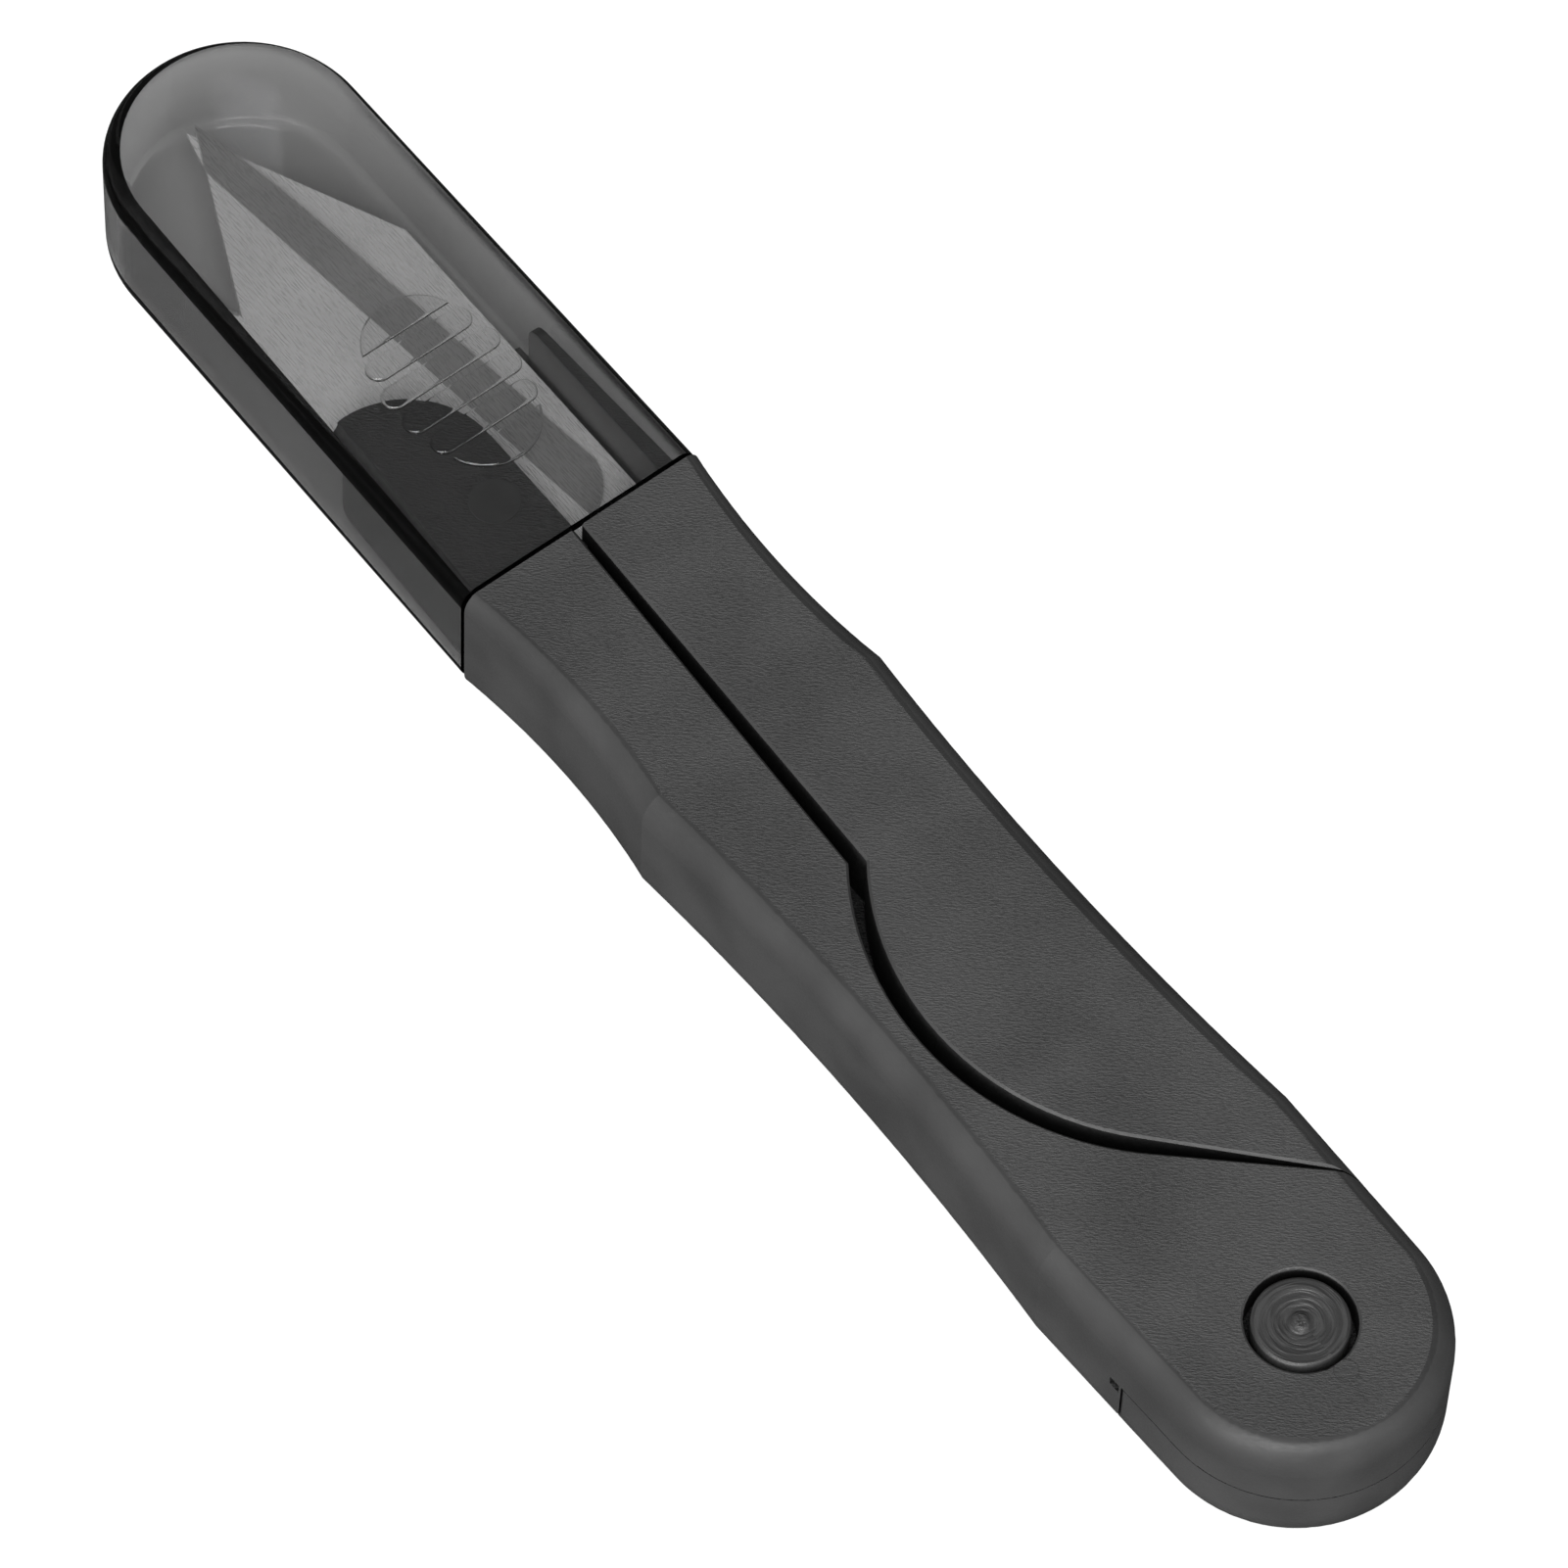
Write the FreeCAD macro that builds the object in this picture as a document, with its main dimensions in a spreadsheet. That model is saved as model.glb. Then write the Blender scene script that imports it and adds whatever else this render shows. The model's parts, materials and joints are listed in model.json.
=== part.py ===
import FreeCAD, Part
import math
import os
import Sketcher

# Capped craft snips: two handle halves that are the same moulding turned over, each with a
# steel blade, on one pivot at the tail, and a clear cap that slides over the blades.
# Millimetres. X runs along the object towards the blade tips, Y across it, Z up.
# The origin is under the middle of the object, on the surface that it lies on.
# The left half (+Y) is modelled; the right half is the left one turned half round
# about the line of X at mid height.

SIZES = {
    # handle
    "handle_height": 10.0,
    "edge_round": 1.5,
    "shoulder_round": 1.0,
    "edge_stretch": 1.5,
    "slit_chamfer": 0.15,
    "slit_taper": 45.0,
    "mark_x": -55.0,
    "mark_radius": 0.75,
    "mark_depth": 0.05,
    "notch_x": -45.55,
    "notch_y": 9.2,
    "notch_radius": 0.4,
    "notch_depth": 0.8,
    "shoulder_x": 17.2,
    "scallop_radius": 56.0,
    "waist_radius": 230.0,
    "tail_radius": 9.1,
    "overlap_depth": 5.05,
    "tongue_top": 4.95,
    # slit between the halves, as radii of the upper half's edge and the lower half's edge
    "left_rear_radius": 18.91,
    "left_front_radius": 20.16,
    "right_rear_radius": 18.4,
    "right_front_radius": 19.27,
    "left_exit_radius": 10.24,
    "right_exit_radius": 10.36,
    # bolster that carries the blade inside the cap
    "bolster_low": 6.0,
    "bolster_height": 2.6,
    "bolster_radius": 6.3,
    "skirt_low": 1.3,
    "skirt_height": 7.4,
    "skirt_nose": 1.0,
    # blade
    "blade_low": 5.03,
    "blade_thick": 0.97,
    "belly_radius": 86.0,
    "heel_radius": 4.2,
    "bevel_wide": 3.4,
    "bevel_deep": 0.85,
    "bevel_long": 45.0,
    "bevel_above": 0.5,
    "bevel_extra": 1.5,
    # rivet through bolster and blade
    "rivet_x": 22.2,
    "rivet_y": 2.8,
    "rivet_radius": 0.9,
    "rivet_head_radius": 1.6,
    "rivet_head_height": 0.3,
    "rivet_top": 8.65,
    # pivot
    "pivot_x": -50.9,
    "bore_radius": 2.76,
    "recess_radius": 3.37,
    "recess_depth": 2.2,
    "recess_round": 0.15,
    "pin_radius": 2.72,
    "pin_head_radius": 3.3,
    "pin_low": 0.25,
    "pin_head_top": 2.15,
    "pin_top": 7.75,
    "stub_radius": 1.6,
    "stub_top": 9.2,
    "button_radius": 2.95,
    "button_low": 7.85,
    "button_top": 9.95,
    "button_round": 0.25,
    "dish_radius": 2.2,
    "dish_inner": 0.8,
    "dish_floor": 9.8,
    "nub_radius": 0.4,
    "nub_top": 10.0,
    # return spring round the pin, in a recess between the tail plates
    "coil_radius": 3.35,
    "wire_radius": 0.35,
    "coil_turns": 2.5,
    "coil_pitch": 0.76,
    "leg_end": -36.6,
    "spring_room": 4.3,
    "spring_room_top": 6.4,
    "spring_room_depth": 1.6,
    # cap
    "cap_low": 0.2,
    "cap_height": 9.6,
    "cap_round": 1.3,
    "cap_nose_radius": 8.6,
    "cap_inner_nose_radius": 7.65,
    "cap_ceiling": 9.0,
    "cap_room": 8.0,
    "cap_top": 9.8,
    "grip_x": 30.2,
    "grip_half_length": 6.9,
    "grip_half_width": 4.4,
    "grip_rise": 0.2,
    "grip_rib": 1.7,
    "grip_pitch": 2.18,
    "grip_round": 0.18,
    "grip_end_pitches": 2.1,
}

# Corners of the outlines, each a point in plan.
POINTS = {
    # handle, from the shoulder back to the tail
    "shoulder": (17.2, 8.9),
    "knuckle": (-0.5, 9.12),
    "hip": (-38.5, 9.35),
    "tail": (-51.08, 9.0982),
    "tail_end": (-60.0, 0),
    # edge of the left half along the slit, seen from above
    "left_mouth": (20.0, 0.54),
    "left_kink": (-11.0, 1.85),
    "left_peak": (-23.2, 5.96),
    "left_bend": (-36.63, 0.36),
    "left_turn": (-44.38, -7.9),
    "left_exit": (-47.06, -9.5),
    "left_outside": (-47.06, -12.0),
    # edge of the right half along the slit, seen from above
    "right_mouth": (20.0, -0.08),
    "right_kink": (-11.5, 0.87),
    "right_peak": (-23.2, 4.83),
    "right_bend": (-35.97, -0.32),
    "right_turn": (-44.26, -7.95),
    "right_exit": (-47.02, -9.61),
    "right_outside": (-47.02, -12.0),
    "front_corner": (20.0, 12.0),
    "rear_corner": (-62.0, 12.0),
    # bolster and its skirt
    "bolster_rear": (16.4, 0.15),
    "bolster_bend": (26.2, 0.15),
    "bolster_nose": (32.5, 6.45),
    "bolster_side": (32.45, 6.95),
    "bolster_wall": (17.0, 7.55),
    "bolster_back": (16.4, 7.55),
    "skirt_rear": (16.4, 6.45),
    "skirt_nose_in": (30.9, 6.45),
    "skirt_nose_out": (30.9, 7.0),
    # blade
    "tang_in": (2.0, 2.2),
    "tang_front": (17.5, 6.2),
    "tang_out": (2.0, 6.2),
    "spine_end": (43.0, 6.2),
    "blade_tip": (56.9, -0.3),
    "belly": (44.0, -2.5),
    "heel": (22.6, -5.25),
    "heel_back": (19.3, -2.2),
    "throat": (17.5, 0.2),
    "throat_in": (17.5, 2.0),
    "bevel_start": (18.0, -2.35),
    "bevel_end": (53.7, 1.5),
    # groove for one leg of the spring
    "leg_room_a": (-49.0, 3.8),
    "leg_room_b": (-36.2, 3.8),
    "leg_room_c": (-36.2, 1.95),
    "leg_room_d": (-49.0, 2.7),
    # cap, outside and inside
    "cap_mouth": (17.6, 8.85),
    "cap_shoulder": (51.4, 8.6),
    "cap_nose": (60.0, 0),
    "cap_inner_left": (16.0, 7.9),
    "cap_inner_left_shoulder": (51.65, 7.25),
    "cap_inner_nose": (59.25, -0.4),
    "cap_inner_right_shoulder": (51.65, -8.05),
    "cap_inner_right": (16.0, -8.25),
}

# Lengths nearer than these count as the same, in plan, in height and for flatness.
NEAR = 0.01
LEVEL = 1e-4
FLAT = 1e-5

doc = FreeCAD.newDocument("capped_craft_snips")
sheet = doc.addObject("Spreadsheet::Sheet", "Sizes")
parts = []


def fill_sheet():
    """Writes every size and every corner into the sheet under its own name."""
    cells = dict(SIZES)
    for name, (x, y) in POINTS.items():
        cells[name + "_at_x"] = x
        cells[name + "_at_y"] = y
    for row, (name, value) in enumerate(cells.items(), start=1):
        sheet.set(f"A{row}", name)
        sheet.set(f"B{row}", str(value))
        sheet.setAlias(f"B{row}", name)
    doc.recompute()


def point(name):
    """The corner with this name; a leading minus mirrors it across the middle line."""
    x, y = POINTS[name.lstrip("-")]
    return FreeCAD.Vector(x, -y if name.startswith("-") else y, 0)


def new_body(name):
    body = doc.addObject("PartDesign::Body", name)
    body.Label = name
    parts.append(body)
    return body


def origin_plane(body, role):
    return next(f for f in body.Origin.OriginFeatures if f.Role == role)


def new_sketch(body, name, height=None, role="XY_Plane"):
    """A sketch on one of the body's own planes, lifted to a height from the sheet."""
    sketch = body.newObject("Sketcher::SketchObject", f"{body.Name}_{name}")
    sketch.AttachmentSupport = (origin_plane(body, role), "")
    sketch.MapMode = "FlatFace"
    if height:
        sketch.setExpression("AttachmentOffset.Base.z", height)
    return sketch


def arc(start, end, radius, turn):
    """The short arc from start to end; turn is 1 for anticlockwise and -1 for clockwise."""
    chord = end - start
    rise = math.sqrt(radius**2 - (chord.Length / 2) ** 2)
    left = FreeCAD.Vector(-chord.y, chord.x, 0).normalize()
    centre = (start + end) * 0.5 + left * (rise * turn)
    first, last = (start, end) if turn > 0 else (end, start)
    angles = [math.atan2(p.y - centre.y, p.x - centre.x) for p in (first, last)]
    circle = Part.Circle(centre, FreeCAD.Vector(0, 0, 1), radius)
    return Part.ArcOfCircle(circle, angles[0], angles[1])


def pin_corner(sketch, geometry, end, name):
    """Holds one end of a line or arc at the named corner."""
    plain = name.lstrip("-")
    sign = "-" if name.startswith("-") else ""
    place = point(name)
    for kind, value, cell, minus, axis in (
        ("DistanceX", place.x, plain + "_at_x", "", -2),
        ("DistanceY", place.y, plain + "_at_y", sign, -1),
    ):
        if value == 0:
            sketch.addConstraint(Sketcher.Constraint("PointOnObject", geometry, end, axis))
            continue
        number = sketch.addConstraint(Sketcher.Constraint(kind, -1, 1, geometry, end, value))
        sketch.setExpression(f"Constraints[{number}]", f"{minus}Sizes.{cell}")


def draw(sketch, steps):
    """Draws a closed outline. A step is a corner's name, or a corner's name with the name
    of the radius of the arc that leads to it and the way that the arc turns."""
    steps = [(s,) if isinstance(s, str) else s for s in steps]
    names = [s[0] for s in steps]
    ends = []
    for i, step in enumerate(steps):
        start, end = point(names[i - 1]), point(step[0])
        if len(step) == 1:
            number = sketch.addGeometry(Part.LineSegment(start, end), False)
            ends.append((number, 1, 2))
            continue
        radius = SIZES[step[1]]
        number = sketch.addGeometry(arc(start, end, radius, step[2]), False)
        ends.append((number, 1, 2) if step[2] > 0 else (number, 2, 1))
        held = sketch.addConstraint(Sketcher.Constraint("Radius", number, radius))
        sketch.setExpression(f"Constraints[{held}]", f"Sizes.{step[1]}")
    for i, (number, first, last) in enumerate(ends):
        following = ends[(i + 1) % len(ends)]
        sketch.addConstraint(
            Sketcher.Constraint("Coincident", number, last, following[0], following[1])
        )
        pin_corner(sketch, number, last, names[i])


def draw_circle(sketch, radius, x, y=None):
    """A circle with its centre and its radius held by cells."""
    centre = FreeCAD.Vector(SIZES[x], SIZES[y] if y else 0, 0)
    circle = Part.Circle(centre, FreeCAD.Vector(0, 0, 1), SIZES[radius])
    number = sketch.addGeometry(circle, False)
    held = sketch.addConstraint(Sketcher.Constraint("Radius", number, SIZES[radius]))
    sketch.setExpression(f"Constraints[{held}]", f"Sizes.{radius}")
    held = sketch.addConstraint(Sketcher.Constraint("DistanceX", -1, 1, number, 3, SIZES[x]))
    sketch.setExpression(f"Constraints[{held}]", f"Sizes.{x}")
    if y:
        held = sketch.addConstraint(Sketcher.Constraint("DistanceY", -1, 1, number, 3, SIZES[y]))
        sketch.setExpression(f"Constraints[{held}]", f"Sizes.{y}")
    else:
        sketch.addConstraint(Sketcher.Constraint("PointOnObject", number, 3, -1))


def pad(body, sketch, length):
    feature = body.newObject("PartDesign::Pad", sketch.Name + "_pad")
    feature.Profile = sketch
    feature.setExpression("Length", length)
    doc.recompute()
    return feature


def pocket(body, sketch, length, upwards=False, taper=None):
    """Cuts down from the sketch, or up from it, and makes sure that it cut something."""
    before = body.Shape.Volume
    feature = body.newObject("PartDesign::Pocket", sketch.Name + "_cut")
    feature.Profile = sketch
    feature.Reversed = upwards
    feature.setExpression("Length", length)
    if taper:
        feature.setExpression("TaperAngle", taper)
    doc.recompute()
    if not body.Shape.Volume < before:
        raise RuntimeError(feature.Name + " cut nothing")
    return feature


def round_edges(body, name, radius, wanted):
    """Rounds the edges of the body's last feature for which wanted(edge) is true."""
    base = body.Tip
    edges = [f"Edge{i}" for i, e in enumerate(base.Shape.Edges, start=1) if wanted(e)]
    feature = body.newObject("PartDesign::Fillet", f"{body.Name}_{name}")
    feature.Base = (base, edges)
    feature.setExpression("Radius", radius)
    doc.recompute()
    return feature


def is_level(edge, height):
    """Whether the whole edge lies at this height."""
    box = edge.BoundBox
    return abs(box.ZMin - height) < LEVEL and abs(box.ZMax - height) < LEVEL


def turned_over():
    """The placement that turns a left-hand piece into its right-hand twin."""
    height = SIZES["handle_height"]
    return FreeCAD.Placement(
        FreeCAD.Vector(0, 0, height), FreeCAD.Rotation(FreeCAD.Vector(1, 0, 0), 180)
    )


def stretched(body, factor, wanted, radius_at):
    """The body with the wanted edges rounded and then stretched upwards by the factor,
    which makes the rounding higher than it is wide. radius_at gives the radius's cell at
    a vertex."""
    edges = []
    for number, edge in enumerate(body.Shape.Edges, start=1):
        if wanted(edge):
            first, last = edge.Vertexes[0], edge.Vertexes[-1]
            edges.append((number, SIZES[radius_at(first)], SIZES[radius_at(last)]))
    rounded = doc.addObject("Part::Fillet", body.Name + "_rounded")
    rounded.Base = body
    rounded.Edges = edges
    scaled = doc.addObject("Part::Scale", body.Name + "_stretched")
    scaled.Base = rounded
    scaled.Uniform = False
    scaled.setExpression("ZScale", factor)
    doc.recompute()
    whole = doc.addObject("Part::Feature", body.Name + "_whole")
    whole.Shape = with_true_planes(scaled.Shape)
    return whole


def with_true_planes(shape):
    """The same solid, whose flat faces are planes again after the stretching."""
    faces = []
    for face in shape.Faces:
        if face.findPlane(FLAT) is None:
            faces.append(face)
            continue
        u_low, u_high, v_low, v_high = face.ParameterRange
        normal = face.normalAt((u_low + u_high) / 2, (v_low + v_high) / 2)
        plane = Part.Plane(face.CenterOfMass, normal)
        faces.append(Part.Face(plane, face.OuterWire))
    return Part.Solid(Part.Shell(faces))


def handle_blank(name):
    """The whole outer shape of the handle, less rounded at the shoulder."""
    body = doc.addObject("PartDesign::Body", name + "_blank")
    sketch = new_sketch(body, "outline")
    draw(
        sketch,
        [
            "shoulder",
            ("knuckle", "scallop_radius", -1),
            ("hip", "waist_radius", -1),
            "tail",
            ("tail_end", "tail_radius", 1),
            ("-tail", "tail_radius", 1),
            "-hip",
            ("-knuckle", "waist_radius", -1),
            ("-shoulder", "scallop_radius", -1),
        ],
    )
    pad(body, sketch, "Sizes.handle_height / Sizes.edge_stretch")
    height = SIZES["handle_height"] / SIZES["edge_stretch"]
    front = SIZES["shoulder_x"] - NEAR

    def on_rim(edge):
        level = is_level(edge, 0) or is_level(edge, height)
        return level and edge.BoundBox.XMin < front

    def radius_at(vertex):
        return "shoulder_round" if vertex.X > front else "edge_round"

    return stretched(body, "Sizes.edge_stretch", on_rim, radius_at)


UPPER_SHARE = [
    "left_mouth",
    "left_kink",
    ("left_peak", "left_front_radius", 1),
    ("left_bend", "left_rear_radius", 1),
    "left_turn",
    ("left_exit", "left_exit_radius", -1),
    "left_outside",
    "-front_corner",
]
LOWER_SHARE = [
    "-right_mouth",
    "-front_corner",
    "-rear_corner",
    "rear_corner",
    "-right_outside",
    "-right_exit",
    ("-right_turn", "right_exit_radius", -1),
    "-right_bend",
    ("-right_peak", "right_rear_radius", 1),
    ("-right_kink", "right_front_radius", 1),
]


def split_blank(body):
    """Takes the other half's share away: above mid height along the slit, and below it
    along the slit's mirror image. The slit's outer edges are chamfered."""
    upper = new_sketch(body, "upper_share", "Sizes.handle_height")
    draw(upper, UPPER_SHARE)
    pocket(body, upper, "Sizes.overlap_depth")
    lower = new_sketch(body, "lower_share")
    draw(lower, LOWER_SHARE)
    pocket(body, lower, "Sizes.overlap_depth", upwards=True)
    upper = new_sketch(body, "upper_edge", "Sizes.handle_height - Sizes.slit_chamfer")
    draw(upper, UPPER_SHARE)
    pocket(body, upper, "Sizes.slit_chamfer", upwards=True, taper="Sizes.slit_taper")
    lower = new_sketch(body, "lower_edge", "Sizes.slit_chamfer")
    draw(lower, LOWER_SHARE)
    pocket(body, lower, "Sizes.slit_chamfer", taper="Sizes.slit_taper")


def add_bolster(body):
    """The plate over the blade and the skirt beside it, both inside the cap."""
    plate = new_sketch(body, "bolster", "Sizes.bolster_low")
    draw(
        plate,
        [
            "bolster_rear",
            "bolster_bend",
            ("bolster_nose", "bolster_radius", 1),
            "bolster_side",
            "bolster_wall",
            "bolster_back",
        ],
    )
    pad(body, plate, "Sizes.bolster_height")
    skirt = new_sketch(body, "skirt", "Sizes.skirt_low")
    draw(skirt, ["skirt_rear", "skirt_nose_in", "skirt_nose_out", "bolster_wall", "bolster_back"])
    pad(body, skirt, "Sizes.skirt_height")
    nose, low = POINTS["skirt_nose_in"][0], SIZES["skirt_low"]

    def under_nose(edge):
        return is_level(edge, low) and abs(edge.BoundBox.XMin - nose) < NEAR

    round_edges(body, "skirt_round", "Sizes.skirt_nose", under_nose)


def cut_fits(body):
    """The slot for the tang, the rivet's seat, the pivot bore, the spring's room, the
    ejector's faint mark and the small notch at the tip of the tongue."""
    slot = new_sketch(body, "tang_slot", "Sizes.bolster_low")
    draw(slot, ["tang_in", "throat_in", "tang_front", "tang_out"])
    pocket(body, slot, "Sizes.blade_thick")
    seat = new_sketch(body, "rivet_hole", "Sizes.rivet_top")
    draw_circle(seat, "rivet_radius", "rivet_x", "rivet_y")
    pocket(body, seat, "Sizes.rivet_top - Sizes.blade_low")
    head = new_sketch(body, "rivet_seat", "Sizes.rivet_top")
    draw_circle(head, "rivet_head_radius", "rivet_x", "rivet_y")
    pocket(body, head, "Sizes.rivet_head_height")
    room = new_sketch(body, "spring_room", "Sizes.spring_room_top")
    draw_circle(room, "spring_room", "pivot_x")
    pocket(body, room, "Sizes.spring_room_depth")
    leg = new_sketch(body, "leg_room", "Sizes.spring_room_top")
    draw(leg, ["leg_room_a", "leg_room_d", "leg_room_c", "leg_room_b"])
    pocket(body, leg, "Sizes.spring_room_depth")
    bore = new_sketch(body, "pivot_bore", "Sizes.handle_height")
    draw_circle(bore, "bore_radius", "pivot_x")
    pocket(body, bore, "Sizes.overlap_depth")
    recess = new_sketch(body, "pivot_recess", "Sizes.handle_height")
    draw_circle(recess, "recess_radius", "pivot_x")
    pocket(body, recess, "Sizes.recess_depth")
    top, across = SIZES["handle_height"], 2 * SIZES["recess_radius"]

    def round_recess(edge):
        return is_level(edge, top) and abs(edge.BoundBox.XLength - across) < NEAR

    round_edges(body, "recess_round", "Sizes.recess_round", round_recess)
    mark = new_sketch(body, "ejector_mark", "Sizes.handle_height")
    draw_circle(mark, "mark_radius", "mark_x")
    pocket(body, mark, "Sizes.mark_depth")
    notch = new_sketch(body, "tip_notch", "Sizes.tongue_top")
    draw_circle(notch, "notch_radius", "notch_x", "notch_y")
    pocket(body, notch, "Sizes.notch_depth")


def make_handle(name):
    body = new_body(name)
    body.BaseFeature = handle_blank(name)
    doc.recompute()
    split_blank(body)
    add_bolster(body)
    cut_fits(body)
    return body


def make_blade(name):
    """A flat plate ground to a bevel along one edge, with a hole for its rivet."""
    body = new_body(name)
    plate = new_sketch(body, "plate", "Sizes.blade_low")
    draw(
        plate,
        [
            "tang_in",
            "throat_in",
            "throat",
            "heel_back",
            ("heel", "heel_radius", 1),
            "belly",
            ("blade_tip", "belly_radius", 1),
            "spine_end",
            "tang_out",
        ],
    )
    pad(body, plate, "Sizes.blade_thick")
    hole = new_sketch(body, "rivet_hole", "Sizes.bolster_low")
    draw_circle(hole, "rivet_radius", "rivet_x", "rivet_y")
    pocket(body, hole, "Sizes.blade_thick")
    return body


def grind_bevel(body):
    """Cuts the blade's upper face down to its edge, as one flat facet."""
    start = POINTS["bevel_start"]
    end = POINTS["bevel_end"]
    run = math.atan2(end[1] - start[1], end[0] - start[0])
    extra, above = SIZES["bevel_extra"], SIZES["bevel_above"]
    wide, deep = SIZES["bevel_wide"] * extra, SIZES["bevel_deep"] * extra
    sketch = new_sketch(body, "bevel", role="YZ_Plane")
    sketch.AttachmentOffset = FreeCAD.Placement(
        FreeCAD.Vector(start[1], SIZES["bolster_low"], start[0]),
        FreeCAD.Rotation(FreeCAD.Vector(0, 1, 0), math.degrees(run)),
    )
    corners = [(0, 0), (0, above), (-wide, above), (-wide, -deep)]
    join_corners(sketch, corners)
    pocket(body, sketch, "Sizes.bevel_long", upwards=True)


def join_corners(sketch, corners):
    """Joins plain corners by straight lines into a closed outline."""
    places = [FreeCAD.Vector(x, y, 0) for x, y in corners]
    for i, place in enumerate(places):
        sketch.addGeometry(Part.LineSegment(place, places[(i + 1) % len(places)]), False)
    for i in range(len(places)):
        following = (i + 1) % len(places)
        sketch.addConstraint(Sketcher.Constraint("Coincident", i, 2, following, 1))


def make_rivet(name):
    """A round rivet whose head is let into the bolster."""
    body = new_body(name)
    shank = new_sketch(body, "shank", "Sizes.blade_low")
    draw_circle(shank, "rivet_radius", "rivet_x", "rivet_y")
    pad(body, shank, "Sizes.rivet_top - Sizes.blade_low")
    head = new_sketch(body, "head", "Sizes.rivet_top - Sizes.rivet_head_height")
    draw_circle(head, "rivet_head_radius", "rivet_x", "rivet_y")
    pad(body, head, "Sizes.rivet_head_height")
    return body


def turn_profile(body, name, corners):
    """Turns a profile about the pivot's axis. A corner is the cell of its radius, or None
    on the axis, and the cell of its height."""
    sketch = new_sketch(body, name, role="XZ_Plane")
    sketch.setExpression("AttachmentOffset.Base.x", "Sizes.pivot_x")
    join_corners(sketch, [(SIZES.get(r, 0), SIZES[z]) for r, z in corners])
    for i, (radius, height) in enumerate(corners):
        if radius:
            value = SIZES[radius]
            held = sketch.addConstraint(Sketcher.Constraint("DistanceX", -1, 1, i, 1, value))
            sketch.setExpression(f"Constraints[{held}]", f"Sizes.{radius}")
        else:
            sketch.addConstraint(Sketcher.Constraint("PointOnObject", i, 1, -2))
        value = SIZES[height]
        held = sketch.addConstraint(Sketcher.Constraint("DistanceY", -1, 1, i, 1, value))
        sketch.setExpression(f"Constraints[{held}]", f"Sizes.{height}")
    feature = body.newObject("PartDesign::Revolution", name + "_turn")
    feature.Profile = sketch
    feature.ReferenceAxis = (sketch, ["V_Axis"])
    feature.Angle = 360
    doc.recompute()


def make_pin():
    """The pivot: a headed pin, and the button pressed onto its stub from above. The
    button's dished top has a moulding nub."""
    pin = new_body("pivot_pin")
    turn_profile(
        pin,
        "pin_profile",
        [
            (None, "pin_low"),
            ("pin_head_radius", "pin_low"),
            ("pin_head_radius", "pin_head_top"),
            ("pin_radius", "pin_head_top"),
            ("pin_radius", "pin_top"),
            ("stub_radius", "pin_top"),
            ("stub_radius", "stub_top"),
            (None, "stub_top"),
        ],
    )
    button = new_body("pivot_button")
    turn_profile(
        button,
        "button_profile",
        [
            ("stub_radius", "button_low"),
            ("button_radius", "button_low"),
            ("button_radius", "button_top"),
            ("dish_radius", "button_top"),
            ("dish_inner", "dish_floor"),
            ("nub_radius", "nub_top"),
            (None, "nub_top"),
            (None, "stub_top"),
            ("stub_radius", "stub_top"),
        ],
    )
    top, dish = SIZES["button_top"], SIZES["dish_radius"]

    def on_top_rim(edge):
        return is_level(edge, top) and edge.BoundBox.XLength > 2 * dish + NEAR

    round_edges(button, "top_round", "Sizes.button_round", on_top_rim)


def make_spring():
    """A wire spring: a coil round the pin with a straight leg into each half."""
    pitch, turns = SIZES["coil_pitch"], SIZES["coil_turns"]
    radius, wire, x = SIZES["coil_radius"], SIZES["wire_radius"], SIZES["pivot_x"]
    rise = pitch * turns
    low = (SIZES["handle_height"] - rise) / 2
    coil = Part.makeHelix(pitch, rise, radius, 0, True)
    coil.rotate(FreeCAD.Vector(), FreeCAD.Vector(0, 0, 1), -90)
    coil.translate(FreeCAD.Vector(x, 0, low))
    start = FreeCAD.Vector(x, -radius, low)
    end = FreeCAD.Vector(x, radius, low + rise)
    along = FreeCAD.Vector(1, 0, 0)
    section = Part.Wire(Part.makeCircle(wire, start, along))
    pieces = [Part.Wire(coil).makePipeShell([section], True, True)]
    reach = SIZES["leg_end"] - x
    for place in (start, end):
        pieces.append(Part.makeCylinder(wire, reach, place, along))
        pieces.append(Part.makeSphere(wire, place))
    spring = doc.addObject("Part::Feature", "return_spring")
    spring.Label = "return_spring"
    spring.Shape = pieces[0].fuse(pieces[1:])
    parts.append(spring)


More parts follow.
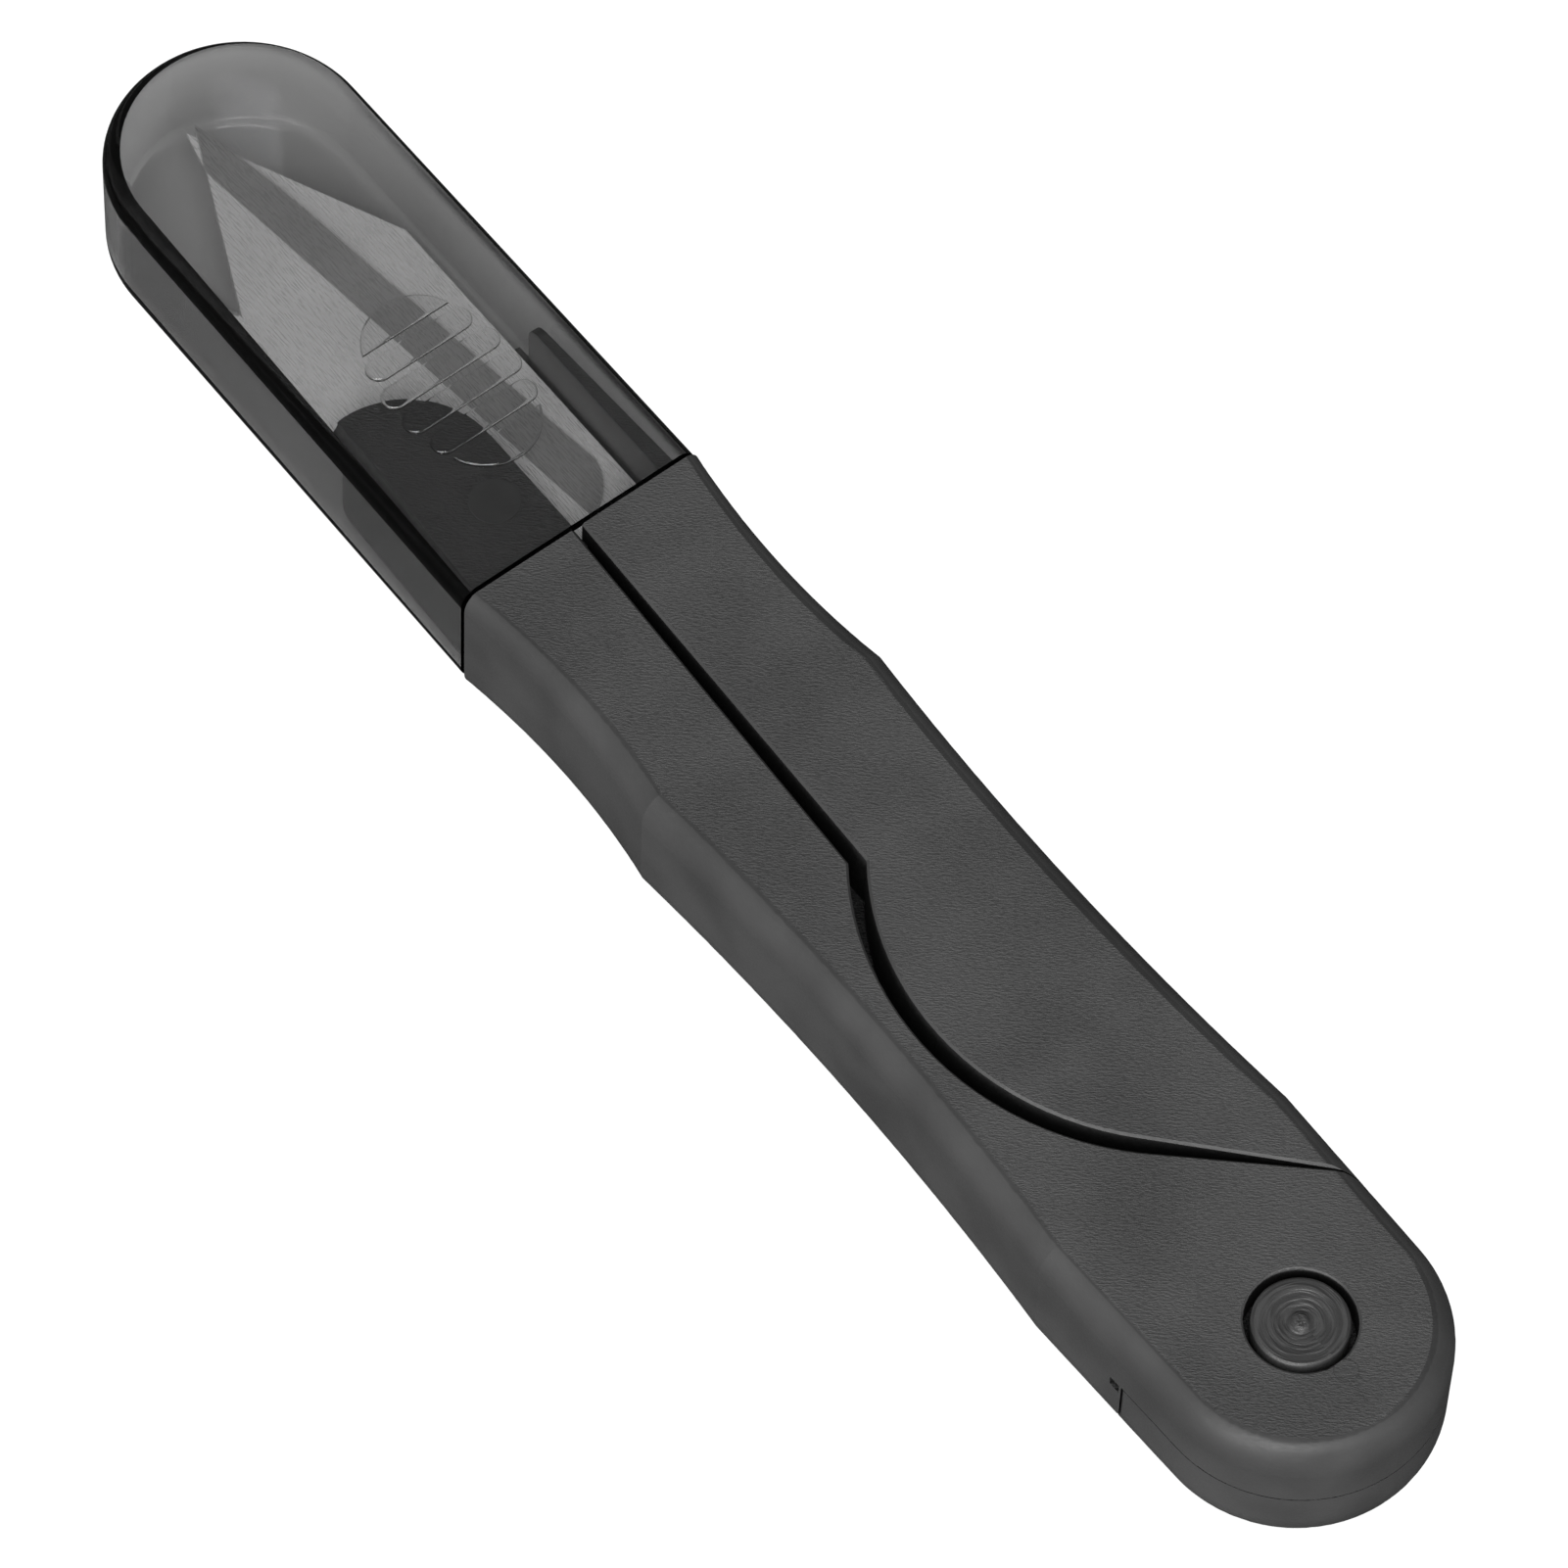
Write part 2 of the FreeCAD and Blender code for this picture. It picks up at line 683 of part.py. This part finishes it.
def make_cap():
    """A clear shell, open at its mouth, with a ribbed oval grip on both flat faces. Its
    room narrows towards the nose and lies a little to the right."""
    body = new_body("cap")
    outside = new_sketch(body, "outside", "Sizes.cap_low")
    draw(
        outside,
        [
            "cap_mouth",
            "cap_shoulder",
            ("cap_nose", "cap_nose_radius", -1),
            ("-cap_shoulder", "cap_nose_radius", -1),
            "-cap_mouth",
        ],
    )
    pad(body, outside, "Sizes.cap_height")
    low, top = SIZES["cap_low"], SIZES["cap_top"]
    mouth = POINTS["cap_mouth"][0] + NEAR

    def on_outer_rim(edge):
        return (is_level(edge, low) or is_level(edge, top)) and edge.BoundBox.XMax > mouth

    round_edges(body, "outer_rim", "Sizes.cap_round", on_outer_rim)
    inside = new_sketch(body, "inside", "Sizes.cap_ceiling")
    draw(
        inside,
        [
            "cap_inner_left",
            "cap_inner_left_shoulder",
            ("cap_inner_nose", "cap_inner_nose_radius", -1),
            ("cap_inner_right_shoulder", "cap_inner_nose_radius", -1),
            "cap_inner_right",
        ],
    )
    pocket(body, inside, "Sizes.cap_room")
    for name, height in (("grip_top", "Sizes.cap_top"), ("grip_bottom", "0")):
        sketch = new_sketch(body, name, height)
        draw_grip(sketch)
        pad(body, sketch, "Sizes.grip_rise")
    bottom, top = 0, SIZES["cap_top"] + SIZES["grip_rise"]

    def on_grip(edge):
        return is_level(edge, bottom) or is_level(edge, top)

    round_edges(body, "grip_round", "Sizes.grip_round", on_grip)


def draw_grip(sketch):
    """Four round-ended ribs across the middle of an oval, and a half-moon at each end."""
    middle, pitch, wide = SIZES["grip_x"], SIZES["grip_pitch"], SIZES["grip_rib"]
    length, width = SIZES["grip_half_length"], SIZES["grip_half_width"]
    for step in (-1.5, -0.5, 0.5, 1.5):
        offset = pitch * step
        reach = width * math.sqrt(1 - (offset / length) ** 2) - wide / 2
        draw_rib(sketch, middle + offset, reach, wide / 2)
    for side in (-1, 1):
        flat = pitch * SIZES["grip_end_pitches"]
        reach = width * math.sqrt(1 - (flat / length) ** 2)
        draw_half_moon(sketch, middle + side * flat, middle + side * length, reach)


def draw_rib(sketch, x, reach, radius):
    up = FreeCAD.Vector(0, 0, 1)
    ends = [FreeCAD.Vector(x, y, 0) for y in (-reach, reach)]
    across = FreeCAD.Vector(radius, 0, 0)
    right = sketch.addGeometry(Part.LineSegment(ends[0] + across, ends[1] + across), False)
    far = sketch.addGeometry(Part.ArcOfCircle(Part.Circle(ends[1], up, radius), 0, math.pi), False)
    left = sketch.addGeometry(Part.LineSegment(ends[1] - across, ends[0] - across), False)
    near = sketch.addGeometry(
        Part.ArcOfCircle(Part.Circle(ends[0], up, radius), math.pi, 2 * math.pi), False
    )
    for one, other in ((right, far), (far, left), (left, near), (near, right)):
        sketch.addConstraint(Sketcher.Constraint("Coincident", one, 2, other, 1))


def draw_half_moon(sketch, flat_x, round_x, reach):
    """A straight side at flat_x, and a round one through round_x."""
    ends = [FreeCAD.Vector(flat_x, y, 0) for y in (-reach, reach)]
    straight = sketch.addGeometry(Part.LineSegment(ends[1], ends[0]), False)
    through = FreeCAD.Vector(round_x, 0, 0)
    curve = sketch.addGeometry(Part.Arc(ends[0], through, ends[1]), False)
    first, last = (1, 2) if round_x > flat_x else (2, 1)
    sketch.addConstraint(Sketcher.Constraint("Coincident", straight, 2, curve, first))
    sketch.addConstraint(Sketcher.Constraint("Coincident", curve, last, straight, 1))


def make_halves():
    """Both halves: each piece of the right one is its left twin turned over."""
    for side in ("left", "right"):
        handle = make_handle(side + "_handle")
        blade = make_blade(side + "_blade")
        grind_bevel(blade)
        rivet = make_rivet(side + "_blade_rivet")
        if side == "right":
            for piece in (handle, blade, rivet):
                piece.Placement = turned_over()


def check_model():
    """Stops if any object failed, or if a piece isn't one valid solid."""
    doc.recompute()
    for item in doc.Objects:
        if "Invalid" in item.State or "Error" in item.State:
            raise RuntimeError(f"{item.Name} failed: {item.State}")
    for piece in parts:
        shape = piece.Shape
        if shape.isNull() or not shape.isValid() or len(shape.Solids) != 1:
            raise RuntimeError(f"{piece.Label} isn't one valid solid")


def write_parts():
    os.makedirs("parts", exist_ok=True)
    for piece in parts:
        piece.Shape.exportStep(f"parts/{piece.Label}.step")
        box = piece.Shape.BoundBox
        print(f"{piece.Label}: {piece.Shape.Volume:.1f} mm3,", box)


fill_sheet()
make_halves()
make_pin()
make_spring()
make_cap()
check_model()
write_parts()
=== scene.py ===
import json
import math

import bpy
from mathutils import Matrix, Vector


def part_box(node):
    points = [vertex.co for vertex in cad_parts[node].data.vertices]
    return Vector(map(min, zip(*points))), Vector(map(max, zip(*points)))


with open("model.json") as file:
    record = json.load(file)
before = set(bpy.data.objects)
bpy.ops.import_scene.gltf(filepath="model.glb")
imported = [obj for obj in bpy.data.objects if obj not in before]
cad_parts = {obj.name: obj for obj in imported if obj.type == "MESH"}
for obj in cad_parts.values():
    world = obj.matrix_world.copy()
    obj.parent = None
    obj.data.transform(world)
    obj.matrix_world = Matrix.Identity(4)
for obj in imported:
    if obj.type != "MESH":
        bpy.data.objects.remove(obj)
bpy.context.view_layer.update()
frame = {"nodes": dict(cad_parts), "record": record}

# Capped craft snips: two dark handle halves with steel blades under a smoke-clear cap.
# Metres. X runs towards the blade tips, Y to the left half, Z up from the table.

MM = 0.001
NODES = frame["nodes"]

# Sizes of the surface detail.
STREAK = 0.13 * MM
STREAK_TURN = math.radians(49.5)
FINE = 0.12 * MM
SKIN = 0.1 * MM
HANDLE_CLOUD = 9 * MM
BLADE_CLOUD = 5 * MM
BRUSH = 0.08 * MM
RIVET_CLOUD = 2 * MM
CAP_HAZE = 2 * MM
SWIRLS_PER_METRE = 2400.0
SWIRL_SCALE = 1.3

# How far round a point a crevice's walls are looked for.
CREVICE = 2 * MM
CREVICE_SAMPLES = 8

# Ranges of facing (see there) where one kind of surface turns into another, or where
# painted shade and painted light set in.
SIDE_LIGHT_FACING = (0.9, 0.3)
BROAD_FACING = (0.975, 0.997)
LINE_SHADE_BEGINS = (0.93, 0.965)
LINE_SHADE_ENDS = (0.985, 0.9985)
BLADE_FLAT = (0.975, 0.985)

# Tones, as shares of the light that the surface gives back. Each ..._SHARE multiplies one.
HANDLE_TONE = (0.031, 0.044)
STREAK_TONE = 0.01
# Painted shade: the darker line where the broad faces turn into the rims.
LINE_SHADE_SHARE = 0.68
# Painted light: upright sides lighter than the broad faces.
SIDE_LIGHT_SHARE = 1.2
STEEL_TONE = (0.84, 0.92)
STEEL_CLOUD_SHARE = (0.94, 1.04)
# Painted shade on the tilted bevel faces of the blades.
BEVEL_SHADE_SHARE = 0.55
RIVET_TONE = (0.018, 0.024)
BUTTON_TONE = (0.032, 0.05)
WIRE_TONE = (0.3, 0.42)

# Smoke-clear plastic.
CAP_IOR = 1.49
CAP_TINT = (0.02, 0.02, 0.02, 1)
CAP_TINT_DENSITY = 370.0

# ---------------------------------------------------------------- node helpers


def new_material(name):
    """An empty material with its output node."""
    material = bpy.data.materials.new(name)
    material.use_nodes = True
    material.node_tree.nodes.clear()
    output = material.node_tree.nodes.new("ShaderNodeOutputMaterial")
    return material, material.node_tree, output


def add(tree, kind, **settings):
    node = tree.nodes.new(kind)
    for key, value in settings.items():
        setattr(node, key, value)
    return node


def feed(tree, socket, value):
    """Links a socket to another one, or sets its plain value."""
    if isinstance(value, bpy.types.NodeSocket):
        tree.links.new(value, socket)
    else:
        socket.default_value = value


def math_node(tree, operation, a, b=None):
    node = add(tree, "ShaderNodeMath", operation=operation)
    feed(tree, node.inputs[0], a)
    if b is not None:
        feed(tree, node.inputs[1], b)
    return node.outputs[0]


def ramp(tree, value, low, high, out_low=0.0, out_high=1.0):
    """Maps low..high to out_low..out_high and holds it at both ends."""
    node = add(tree, "ShaderNodeMapRange", interpolation_type="SMOOTHSTEP")
    feed(tree, node.inputs["Value"], value)
    for key, number in (
        ("From Min", low), ("From Max", high), ("To Min", out_low), ("To Max", out_high),
    ):
        feed(tree, node.inputs[key], number)
    return node.outputs["Result"]


def noise(tree, size, detail=2.0, rough=0.5, stretch=(1, 1, 1), turn=0.0, lift=0.0):
    """A noise whose blobs are about size metres across, drawn out by stretch."""
    coords = add(tree, "ShaderNodeTexCoord").outputs["Object"]
    mapping = add(tree, "ShaderNodeMapping", vector_type="TEXTURE")
    feed(tree, mapping.inputs["Vector"], coords)
    mapping.inputs["Rotation"].default_value = (0, 0, turn)
    mapping.inputs["Scale"].default_value = [size * s for s in stretch]
    mapping.inputs["Location"].default_value = (lift, lift, lift)
    node = add(tree, "ShaderNodeTexNoise")
    node.inputs["Scale"].default_value = 1.0
    node.inputs["Detail"].default_value = detail
    node.inputs["Roughness"].default_value = rough
    tree.links.new(mapping.outputs["Vector"], node.inputs["Vector"])
    return node.outputs["Fac"]


def parts_of(tree, output_name):
    """The X, Y and Z of one of the texture coordinates."""
    split = add(tree, "ShaderNodeSeparateXYZ")
    tree.links.new(add(tree, "ShaderNodeTexCoord").outputs[output_name], split.inputs[0])
    return split.outputs


def facing(tree):
    """1 where the surface lies flat, 0 where it stands upright."""
    return math_node(tree, "ABSOLUTE", parts_of(tree, "Normal")["Z"])


def openness(tree):
    """0 deep in a crevice, 1 on an open face."""
    node = add(tree, "ShaderNodeAmbientOcclusion", samples=CREVICE_SAMPLES)
    node.inputs["Distance"].default_value = CREVICE
    return node.outputs["AO"]


def grey(tree, value):
    node = add(tree, "ShaderNodeCombineColor")
    for i in range(3):
        feed(tree, node.inputs[i], value)
    return node.outputs["Color"]


def bump(tree, height, strength, distance):
    node = add(tree, "ShaderNodeBump")
    node.inputs["Strength"].default_value = strength
    node.inputs["Distance"].default_value = distance
    tree.links.new(height, node.inputs["Height"])
    return node.outputs["Normal"]


def mix_shaders(tree, share, first, second):
    """The first shader where share is 0, the second where it is 1."""
    mix = add(tree, "ShaderNodeMixShader")
    feed(tree, mix.inputs[0], share)
    tree.links.new(first.outputs[0], mix.inputs[1])
    tree.links.new(second.outputs[0], mix.inputs[2])
    return mix


# ---------------------------------------------------------------- materials


def handle_plastic():
    """Dark moulded plastic: short fine streaks on the broad faces, satin sides painted lighter
    as painted light, a painted shade line where the two meet, and painted deep shade in the
    slit and the recesses."""
    material, tree, output = new_material("handle_plastic")
    shader = add(tree, "ShaderNodeBsdfPrincipled")
    level = facing(tree)
    broad = ramp(tree, level, *BROAD_FACING)
    streaks = noise(tree, STREAK, detail=3.0, rough=0.7, stretch=(3, 1, 1), turn=STREAK_TURN)
    fine = noise(tree, FINE, detail=1.0)
    cloud = noise(tree, HANDLE_CLOUD, rough=0.6, lift=3 * MM)
    grain = math_node(tree, "MULTIPLY", ramp(tree, streaks, 0.35, 0.7), broad)
    height = math_node(tree, "ADD", grain, math_node(tree, "MULTIPLY", fine, 0.12))
    tone = math_node(tree, "ADD", ramp(tree, cloud, 0.3, 0.65, *HANDLE_TONE),
                     math_node(tree, "MULTIPLY", grain, STREAK_TONE))
    # Painted shade: a darker line where the broad faces turn into the rounded rims.
    shade_line = math_node(tree, "MULTIPLY", ramp(tree, level, *LINE_SHADE_BEGINS),
                     ramp(tree, level, *LINE_SHADE_ENDS, 1.0, 0.0))
    tone = math_node(tree, "MULTIPLY", tone, ramp(tree, shade_line, 0.0, 1.0, 1.0, LINE_SHADE_SHARE))
    # Painted light: the upright sides are made lighter than the broad faces.
    tone = math_node(tree, "MULTIPLY", tone, ramp(tree, level, *SIDE_LIGHT_FACING, 1.0, SIDE_LIGHT_SHARE))
    # Painted shade: darker in the slit, the recesses and other crevices.
    tone = math_node(tree, "MULTIPLY", tone, ramp(tree, openness(tree), 0.4, 0.8))
    feed(tree, shader.inputs["Base Color"], grey(tree, tone))
    shader.inputs["Specular IOR Level"].default_value = 0.42
    feed(tree, shader.inputs["Roughness"], ramp(tree, streaks, 0.3, 0.7, 0.46, 0.6))
    feed(tree, shader.inputs["Normal"], bump(tree, height, 0.85, 0.03 * MM))
    tree.links.new(shader.outputs[0], output.inputs["Surface"])
    return material


def blade_steel():
    """Satin steel with fine lengthwise polish and painted shade on the ground bevel, darker
    there.
    """
    material, tree, output = new_material("blade_steel")
    shader = add(tree, "ShaderNodeBsdfPrincipled")
    bevel_shade = math_node(tree, "SUBTRACT", 1.0, ramp(tree, facing(tree), *BLADE_FLAT))
    brush = noise(tree, BRUSH, stretch=(14, 1, 1))
    cloud = noise(tree, BLADE_CLOUD)
    tone = ramp(tree, brush, 0.2, 0.8, *STEEL_TONE)
    tone = math_node(tree, "MULTIPLY", tone, ramp(tree, cloud, 0.2, 0.8, *STEEL_CLOUD_SHARE))
    # Painted shade: the tilted bevel faces are darkened.
    tone = math_node(tree, "MULTIPLY", tone, ramp(tree, bevel_shade, 0.0, 1.0, 1.0, BEVEL_SHADE_SHARE))
    feed(tree, shader.inputs["Base Color"], grey(tree, tone))
    shader.inputs["Metallic"].default_value = 0.6
    feed(tree, shader.inputs["Roughness"], ramp(tree, brush, 0.2, 0.8, 0.24, 0.34))
    feed(tree, shader.inputs["Normal"], bump(tree, brush, 0.25, 0.01 * MM))
    tree.links.new(shader.outputs[0], output.inputs["Surface"])
    return material


def rivet_plastic():
    """Moulded plastic with a faint cloudy tone and a fine pebbled skin."""
    material, tree, output = new_material("rivet_plastic")
    shader = add(tree, "ShaderNodeBsdfPrincipled")
    cloud = noise(tree, RIVET_CLOUD)
    skin = noise(tree, SKIN)
    feed(tree, shader.inputs["Base Color"], grey(tree, ramp(tree, cloud, 0.3, 0.7, *RIVET_TONE)))
    feed(tree, shader.inputs["Roughness"], ramp(tree, skin, 0.3, 0.7, 0.44, 0.56))
    shader.inputs["Specular IOR Level"].default_value = 0.35
    feed(tree, shader.inputs["Normal"], bump(tree, skin, 0.3, 0.01 * MM))
    tree.links.new(shader.outputs[0], output.inputs["Surface"])
    return material


def swirl_marks(tree):
    """Marks that run round the middle of the pivot button."""
    low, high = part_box("pivot_button")
    middle = [(a + b) / 2 for a, b in zip(low, high)]
    place = parts_of(tree, "Object")
    across = math_node(tree, "SUBTRACT", place["X"], middle[0])
    along = math_node(tree, "SUBTRACT", place["Y"], middle[1])
    angle = math_node(tree, "ARCTAN2", along, across)
    squares = math_node(tree, "ADD", math_node(tree, "POWER", across, 2.0),
                        math_node(tree, "POWER", along, 2.0))
    reach = math_node(tree, "SQRT", squares)
    polar = add(tree, "ShaderNodeCombineXYZ")
    feed(tree, polar.inputs["X"], math_node(tree, "MULTIPLY", angle, 0.5))
    feed(tree, polar.inputs["Y"], math_node(tree, "MULTIPLY", reach, SWIRLS_PER_METRE))
    swirl = add(tree, "ShaderNodeTexNoise")
    swirl.inputs["Scale"].default_value = SWIRL_SCALE
    swirl.inputs["Detail"].default_value = 2.0
    tree.links.new(polar.outputs[0], swirl.inputs["Vector"])
    return ramp(tree, swirl.outputs["Fac"], 0.35, 0.65)


def pin_plastic():
    """The plastic of the pin and its button: swirl marks and a fine skin."""
    material, tree, output = new_material("pin_plastic")
    shader = add(tree, "ShaderNodeBsdfPrincipled")
    marks = swirl_marks(tree)
    skin = noise(tree, SKIN)
    height = math_node(tree, "ADD", marks, math_node(tree, "MULTIPLY", skin, 0.3))
    tone = ramp(tree, marks, 0.0, 1.0, *BUTTON_TONE)
    feed(tree, shader.inputs["Base Color"], grey(tree, tone))
    feed(tree, shader.inputs["Roughness"], ramp(tree, skin, 0.3, 0.7, 0.38, 0.5))
    shader.inputs["Specular IOR Level"].default_value = 0.4
    feed(tree, shader.inputs["Normal"], bump(tree, height, 0.8, 0.06 * MM))
    tree.links.new(shader.outputs[0], output.inputs["Surface"])
    return material


def spring_steel():
    """Drawn wire: dull steel with faint marks on it."""
    material, tree, output = new_material("spring_steel")
    shader = add(tree, "ShaderNodeBsdfPrincipled")
    marks = noise(tree, SKIN, detail=3.0, stretch=(6, 6, 1))
    feed(tree, shader.inputs["Base Color"], grey(tree, ramp(tree, marks, 0.2, 0.8, *WIRE_TONE)))
    shader.inputs["Metallic"].default_value = 1.0
    feed(tree, shader.inputs["Roughness"], ramp(tree, marks, 0.2, 0.8, 0.3, 0.45))
    tree.links.new(shader.outputs[0], output.inputs["Surface"])
    return material


def smoke_plastic():
    """Clear plastic, tinted all through. Its surface doesn't bend the lamps' light."""
    material, tree, output = new_material("smoke_plastic")
    shader = add(tree, "ShaderNodeBsdfPrincipled")
    shader.inputs["Base Color"].default_value = (1, 1, 1, 1)
    shader.inputs["Transmission Weight"].default_value = 1.0
    shader.inputs["IOR"].default_value = CAP_IOR
    haze = noise(tree, CAP_HAZE, detail=3.0)
    feed(tree, shader.inputs["Roughness"], ramp(tree, haze, 0.3, 0.7, 0.03, 0.06))
    clear = add(tree, "ShaderNodeBsdfTransparent")
    clear.inputs["Color"].default_value = (1, 1, 1, 1)
    path = add(tree, "ShaderNodeLightPath").outputs
    through = math_node(tree, "MAXIMUM", path["Is Shadow Ray"], path["Is Diffuse Ray"])
    mix = mix_shaders(tree, through, shader, clear)
    tree.links.new(mix.outputs[0], output.inputs["Surface"])
    tint = add(tree, "ShaderNodeVolumeAbsorption")
    tint.inputs["Color"].default_value = CAP_TINT
    tint.inputs["Density"].default_value = CAP_TINT_DENSITY
    tree.links.new(tint.outputs[0], output.inputs["Volume"])
    return material


FINISHES = {
    "handle_plastic": handle_plastic(),
    "blade_steel": blade_steel(),
    "rivet_plastic": rivet_plastic(),
    "pin_plastic": pin_plastic(),
    "spring_steel": spring_steel(),
    "smoke_plastic": smoke_plastic(),
}

for part in frame["record"]["subparts"]:
    materials = NODES[part["node"]].data.materials
    materials.clear()
    materials.append(FINISHES[part["material_slot"]])

# ---------------------------------------------------------------- studio

FLOOR_HALF = 2.0
FLOOR_DROP = 0.02 * MM
FLOOR_PAINT = (0.62, 0.62, 0.62, 1)
# Painted reflection: the floor's colour as the object's gloss sees it.
FLOOR_PAINTED_REFLECTION = (0.05, 0.05, 0.05, 1)
FLOOR_GLOW = 1.15
FLOOR_GLOW_SHARE = 0.9
# Painted contact shade: how closed-in the floor is where its glow fades out.
FLOOR_CONTACT_SHADE = (0.1, 0.35)
WORLD_STRENGTH = 0.08


def diffuse(tree, color):
    node = add(tree, "ShaderNodeBsdfDiffuse")
    node.inputs["Color"].default_value = color
    return node


def floor_pale():
    """Pale paint that looks white and even to the camera through a painted glow, except right
    beside the object, where the glow gives way to painted contact shade; in the object's gloss
    it shows only darkly, a painted reflection."""
    material, tree, output = new_material("floor_pale")
    path = add(tree, "ShaderNodeLightPath").outputs
    mirrored = math_node(tree, "MULTIPLY", path["Is Glossy Ray"], path["Is Reflection Ray"])
    paint = mix_shaders(tree, mirrored, diffuse(tree, FLOOR_PAINT), diffuse(tree, FLOOR_PAINTED_REFLECTION))
    glow = add(tree, "ShaderNodeEmission")
    glow.inputs["Strength"].default_value = FLOOR_GLOW
    # Painted glow seen only by the camera, fading to painted shade where the object closes over
    # the floor.
    painted_glow_share = ramp(tree, openness(tree), *FLOOR_CONTACT_SHADE, 0.0, FLOOR_GLOW_SHARE)
    seen = math_node(tree, "MULTIPLY", path["Is Camera Ray"], painted_glow_share)
    tree.links.new(mix_shaders(tree, seen, paint, glow).outputs[0], output.inputs["Surface"])
    return material


def make_floor():
    mesh = bpy.data.meshes.new("floor")
    corners = [(x, y, -FLOOR_DROP) for x, y in (
        (-FLOOR_HALF, -FLOOR_HALF), (FLOOR_HALF, -FLOOR_HALF),
        (FLOOR_HALF, FLOOR_HALF), (-FLOOR_HALF, FLOOR_HALF))]
    mesh.from_pydata(corners, [], [(0, 1, 2, 3)])
    mesh.materials.append(floor_pale())
    floor = bpy.data.objects.new("floor", mesh)
    bpy.context.scene.collection.objects.link(floor)


def make_world():
    world = bpy.data.worlds.new("studio")
    bpy.context.scene.world = world
    world.use_nodes = True
    background = world.node_tree.nodes["Background"]
    background.inputs["Color"].default_value = (1, 1, 1, 1)
    background.inputs["Strength"].default_value = WORLD_STRENGTH


# Square soft boxes, each turned to the origin: place, side and power in watts.
LIGHTS = {
    "key_softbox": ((-0.42, 0.4, 0.8), 0.6, 11.5),
    "left_softbox": ((-0.3, 0.85, 0.38), 0.6, 6.5),
    "far_softbox": ((0.42, -0.36, 0.93), 0.9, 0.35),
    "rear_softbox": ((-0.9, -0.35, 0.42), 0.35, 1.2),
}


def area_light(name, place, side, power):
    light = bpy.data.lights.new(name, "AREA")
    light.shape = "SQUARE"
    light.size = side
    light.energy = power
    obj = bpy.data.objects.new(name, light)
    bpy.context.scene.collection.objects.link(obj)
    aim = -Vector(place)
    turn = aim.to_track_quat("-Z", "Y").to_matrix().to_4x4()
    obj.matrix_world = Matrix.Translation(place) @ turn


# The camera looks down at the object from behind its tail and to its left.
HEADING = math.radians(319.42885)
STEEPNESS = math.radians(59.229)
ROLL = math.radians(2.881)
DISTANCE = 0.673356
AIM = Vector((0.0666, -2.318, 0)) * MM
LENS = 256.1
SENSOR = 36.0
NEAREST = 0.01


def make_camera():
    forward = Vector((
        math.cos(STEEPNESS) * math.cos(HEADING),
        math.cos(STEEPNESS) * math.sin(HEADING),
        -math.sin(STEEPNESS),
    ))
    right = forward.cross(Vector((0, 0, 1))).normalized()
    up = right.cross(forward)
    across = right * math.cos(ROLL) + up * math.sin(ROLL)
    above = up * math.cos(ROLL) - right * math.sin(ROLL)
    place = AIM - forward * DISTANCE
    data = bpy.data.cameras.new("camera")
    data.lens = LENS
    data.sensor_width = SENSOR
    data.clip_start = NEAREST
    camera = bpy.data.objects.new("camera", data)
    bpy.context.scene.collection.objects.link(camera)
    camera.matrix_world = Matrix((
        (across.x, above.x, -forward.x, place.x),
        (across.y, above.y, -forward.y, place.y),
        (across.z, above.z, -forward.z, place.z),
        (0, 0, 0, 1),
    ))
    bpy.context.scene.camera = camera


make_floor()
make_world()
make_camera()
for light_name, settings in LIGHTS.items():
    area_light(light_name, *settings)
bpy.context.scene.view_settings.view_transform = "Standard"
